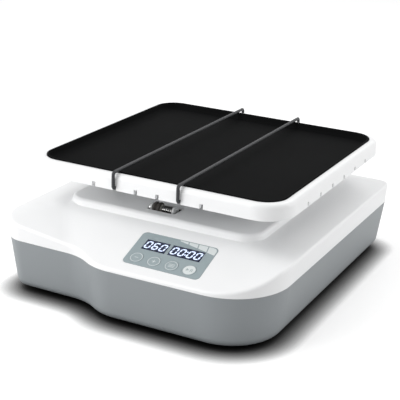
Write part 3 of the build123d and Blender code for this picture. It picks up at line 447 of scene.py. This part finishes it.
def segment_shapes():
    """Outline of each segment in a digit cell, before the slant."""
    half_w, half_h, t = digit_width / 2, digit_height / 2, digit_stroke
    g = segment_gap

    def across(y):
        tip = half_w - g
        return [(-tip, y), (-tip + t / 2, y + t / 2), (tip - t / 2, y + t / 2), (tip, y),
                (tip - t / 2, y - t / 2), (-tip + t / 2, y - t / 2)]

    def upright(x, y_low, y_high):
        low, high = y_low + g, y_high - g
        return [(x, low), (x + t / 2, low + t / 2), (x + t / 2, high - t / 2), (x, high),
                (x - t / 2, high - t / 2), (x - t / 2, low + t / 2)]

    top = half_h - t / 2
    return {
        "a": across(top), "g": across(0), "d": across(-top),
        "b": upright(half_w, 0, top), "c": upright(half_w, -top, 0),
        "f": upright(-half_w, 0, top), "e": upright(-half_w, -top, 0),
    }


def slanted(points, u, v=0.0):
    return [(u + x + (y + v) * digit_slant, y + v) for x, y in points]


def add_digit(printed, figure, u):
    for name, outline in segment_shapes().items():
        if name in lit_segments[figure]:
            printed.polygon(slanted(outline, u))


def add_dot(printed, u, v, r):
    corners = [(r * math.cos(math.pi * k / 6), r * math.sin(math.pi * k / 6)) for k in range(12)]
    printed.polygon(slanted(corners, u, v))


def make_digits():
    """Three figures for the speed, and four with a colon for the time."""
    speed = Print(Surface("speed_window"))
    low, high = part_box("speed_window")
    pitch = (high.x - low.x) / speed_cells
    for i, figure in enumerate("060"):
        add_digit(speed, figure, (i - 1) * pitch)
    speed.make("speed_digits", lit, "root", "display_dark")
    timer = Print(Surface("timer_window"))
    low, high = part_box("timer_window")
    pitch = (high.x - low.x) / timer_cells
    for place in timer_places:
        add_digit(timer, "0", place * pitch)
    for v in (-colon_half, colon_half):
        add_dot(timer, 0.0, v, colon_r)
    timer.make("timer_digits", lit, "root", "display_dark")


# Keys

def key_print(node):
    """Printing centred on a key's face."""
    surface = Surface(node)
    low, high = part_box(node)
    panel = Surface("panel_membrane")
    surface.origin = panel.at((low.x + high.x) / 2 - panel.origin.x, key_row_v, key_face)
    return Print(surface)


def make_key_marks():
    """Minus, plus and three bars in rings, start and pause on a disc."""
    outer = key_radius - ring_inset
    inner = outer - ring_width
    minus = key_print("key_minus")
    minus.ring(0, 0, outer, inner)
    minus.bar(0, 0, sign_long, sign_thin)
    minus.make("minus_mark", print_white, "minus_key", "key_grey")
    plus = key_print("key_plus")
    plus.ring(0, 0, outer, inner)
    plus.bar(0, 0, sign_long, sign_thin)
    plus.bar(0, (sign_long + sign_thin) / 4, sign_thin, (sign_long - sign_thin) / 2)
    plus.bar(0, -(sign_long + sign_thin) / 4, sign_thin, (sign_long - sign_thin) / 2)
    plus.make("plus_mark", print_white, "plus_key", "key_grey")
    mode = key_print("key_mode")
    mode.ring(0, 0, outer, inner)
    for v in (-mode_bar_pitch, 0.0, mode_bar_pitch):
        mode.bar(0, v, mode_bar_long, sign_thin)
    mode.make("mode_mark", print_white, "mode_key", "key_grey")
    start = key_print("key_start")
    start.disc(0, 0, outer)
    start.make("start_disc", print_white, "start_key", "key_grey")
    symbol = key_print("key_start")
    symbol.surface.origin = symbol.surface.at(0, 0, print_thickness)
    symbol.polygon([(-play_long, -play_half), (0.0, 0.0), (-play_long, play_half)])
    for u in pause_places:
        symbol.bar(u, 0, pause_thick, 2 * play_half)
    symbol.make("start_symbol", print_grey, "start_key", "key_grey")


def make_panel_facets():
    """Pale slanted facets that deepen towards the upper right corner of the film."""
    printed = Print(Surface("panel_membrane"))
    for left, right in facet_spans:
        lower = [(u + facet_lean, facet_top - facet_fall * (u - facet_start)) for u in (left, right)]
        printed.polygon([(left, facet_top), *lower, (right, facet_top)])
    left = facet_corner[0][0]
    ends = (left + facet_lean, facet_corner[-1][0])
    lower = [(u, facet_top - facet_fall * (u - facet_start)) for u in ends]
    printed.polygon([facet_corner[0], *lower, *reversed(facet_corner[1:])])
    printed.make("panel_facets", print_white, "root", "panel_film")


# Mat

def rounded_ring(centre, half, corner, z, steps=14):
    """Points round a square with rounded corners."""
    points = []
    for k, (sx, sy) in enumerate([(1, 1), (-1, 1), (-1, -1), (1, -1)]):
        for i in range(steps + 1):
            a = math.pi / 2 * (k + i / steps)
            x = centre.x + sx * (half - corner) + corner * math.cos(a)
            y = centre.y + sy * (half - corner) + corner * math.sin(a)
            points.append(Vector((x, y, z)))
    return points


def make_mat():
    """Soft-edged mat: a flat floor that curves up to a rounded lip."""
    low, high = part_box("tray_mat")
    centre = (low + high) / 2
    half = (high.x - low.x) / 2
    floor_z = low.z + mat_thickness
    rise = high.z - floor_z
    # Inset from the mat's edge, and height from its lip
    profile = [(0.0, low.z - high.z), (0.0, -0.5 * mm), (0.25 * mm, -0.12 * mm), (0.8 * mm, 0.0),
               (mat_edge_width, -0.15 * mm), (mat_edge_width + 0.8 * mm, -0.28 * rise),
               (mat_edge_width + 1.5 * mm, -0.62 * rise), (mat_edge_width + 2.6 * mm, -0.88 * rise),
               (mat_edge_width + 4.2 * mm, -rise), (mat_edge_width + 7.0 * mm, -rise)]
    rings = [rounded_ring(centre, half - inset, mat_corner - inset, high.z + drop)
             for inset, drop in profile]
    verts = [p for ring in rings for p in ring]
    count = len(rings[0])
    faces = []
    for k in range(len(rings) - 1):
        for i in range(count):
            j = (i + 1) % count
            faces.append([k * count + i, k * count + j, (k + 1) * count + j, (k + 1) * count + i])
    faces.append([(len(rings) - 1) * count + i for i in range(count)])
    faces.append(list(reversed(range(count))))
    mat = make_piece("mat_liner", verts, faces, materials["mat_rubber"], "tray", "mat_rubber", smooth=True)
    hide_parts("tray_mat")


# Rear details

def make_rocker_marks():
    """Generic on and off marks, one on each half of the rocker's bent face."""
    low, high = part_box("power_rocker")
    middle = (low + high) / 2
    for name, side in (("rocker_on_mark", 1), ("rocker_off_mark", -1)):
        surface = Surface("power_rocker")
        lean = rocker_lean - side * rocker_bend
        surface.u = Vector((-1, 0, 0))
        surface.v = Vector((0, -math.sin(lean), math.cos(lean)))
        surface.w = Vector((0, math.cos(lean), math.sin(lean)))
        reach = Vector((0, math.sin(-rocker_lean), math.cos(rocker_lean))) * side * rocker_mark_reach
        out = Vector((0, math.cos(rocker_lean), math.sin(rocker_lean))) * rocker_mark_height
        surface.origin = Vector((middle.x, rocker_pivot_y, rocker_pivot_z)) + reach + out
        mark = Print(surface)
        if side > 0:
            mark.bar(0, 0, *on_mark)
        else:
            mark.ring(0, 0, *off_mark)
        mark.make(name, print_white, "rocker", "rocker_black")


# Stage

def make_floor():
    """Pale floor that keeps the object's shadow and is darkest where the object stands."""
    corners = [(x * floor_half, y * floor_half, 0) for x, y in ((-1, -1), (1, -1), (1, 1), (-1, 1))]
    mesh = bpy.data.meshes.new("floor")
    mesh.from_pydata(corners, [], [(0, 1, 2, 3)])
    floor = bpy.data.objects.new("floor", mesh)
    bpy.context.scene.collection.objects.link(floor)
    material, tree, shader = new_material("floor_white")
    near = contact_shade(tree)
    pale = (floor_albedo, floor_albedo, floor_albedo)
    tree.links.new(between(tree, near, (0.0, 0.0, 0.0), pale), shader.inputs["Base Color"])
    shader.inputs["Roughness"].default_value = 0.9
    shader.inputs["Specular IOR Level"].default_value = 0.1
    lift = tree.nodes.new("ShaderNodeEmission")
    rays = seen_rays(tree)
    strength = tree.nodes.new("ShaderNodeMath")
    strength.operation = "MULTIPLY"
    tree.links.new(spread(tree, near, 0.0, floor_lift), strength.inputs[1])
    tree.links.new(rays, strength.inputs[0])
    tree.links.new(strength.outputs["Value"], lift.inputs["Strength"])
    both = tree.nodes.new("ShaderNodeAddShader")
    tree.links.new(shader.outputs["BSDF"], both.inputs[0])
    tree.links.new(lift.outputs["Emission"], both.inputs[1])
    tree.links.new(both.outputs["Shader"], tree.nodes["Material Output"].inputs["Surface"])
    mesh.materials.append(material)


def contact_shade(tree):
    """0 where the object stands on the floor, 1 away from it."""
    hidden = tree.nodes.new("ShaderNodeAmbientOcclusion")
    hidden.inputs["Distance"].default_value = shade_reach
    deep = tree.nodes.new("ShaderNodeMath")
    deep.operation = "POWER"
    deep.inputs[1].default_value = shade_depth
    tree.links.new(hidden.outputs["AO"], deep.inputs[0])
    return deep.outputs["Value"]


def seen_rays(tree):
    """1 for what the camera, a reflection or a view through glass sees."""
    path = tree.nodes.new("ShaderNodeLightPath")
    first = tree.nodes.new("ShaderNodeMath")
    first.operation = "MAXIMUM"
    second = tree.nodes.new("ShaderNodeMath")
    second.operation = "MAXIMUM"
    tree.links.new(path.outputs["Is Camera Ray"], first.inputs[0])
    tree.links.new(path.outputs["Is Glossy Ray"], first.inputs[1])
    tree.links.new(first.outputs["Value"], second.inputs[0])
    tree.links.new(path.outputs["Is Transmission Ray"], second.inputs[1])
    return second.outputs["Value"]


def make_world():
    world = bpy.data.worlds.new("studio")
    bpy.context.scene.world = world
    world.use_nodes = True
    tree = world.node_tree
    background = tree.nodes["Background"]
    background.inputs["Color"].default_value = (1.0, 1.0, 1.0, 1.0)
    level = tree.nodes.new("ShaderNodeMapRange")
    level.inputs["To Min"].default_value = world_strength
    level.inputs["To Max"].default_value = 1.0
    tree.links.new(seen_rays(tree), level.inputs["Value"])
    tree.links.new(level.outputs["Result"], background.inputs["Strength"])


def make_lamps():
    for name, (place, size, power) in lamps.items():
        data = bpy.data.lights.new(name, "AREA")
        data.shape = "RECTANGLE"
        data.size, data.size_y = size
        data.energy = power
        lamp = bpy.data.objects.new(name, data)
        bpy.context.scene.collection.objects.link(lamp)
        lamp.location = place
        lamp.rotation_euler = (Vector(lamps_aim) - Vector(place)).to_track_quat("-Z", "Y").to_euler()


def make_camera():
    data = bpy.data.cameras.new("camera")
    data.sensor_width = sensor_mm
    data.lens = sensor_mm * focal_px / image_size
    data.shift_x = (image_size / 2 - centre_px[0]) / image_size
    data.shift_y = (centre_px[1] - image_size / 2) / image_size
    forward = Vector((-math.sin(camera_yaw) * math.cos(camera_pitch),
                      math.cos(camera_yaw) * math.cos(camera_pitch), -math.sin(camera_pitch)))
    level_right = Vector((math.cos(camera_yaw), math.sin(camera_yaw), 0.0))
    level_down = forward.cross(level_right)
    right = level_right * math.cos(camera_roll) + level_down * math.sin(camera_roll)
    down = level_down * math.cos(camera_roll) - level_right * math.sin(camera_roll)
    turn = Matrix((right, -down, -forward)).transposed().to_4x4()
    camera = bpy.data.objects.new("camera", data)
    bpy.context.scene.collection.objects.link(camera)
    camera.matrix_world = Matrix.Translation(camera_place) @ turn
    bpy.context.scene.camera = camera


make_camera()
dress_nodes()
make_digits()
make_key_marks()
make_panel_facets()
make_mat()
make_rocker_marks()
make_world()
make_floor()
make_lamps()
bpy.context.scene.view_settings.view_transform = "Standard"
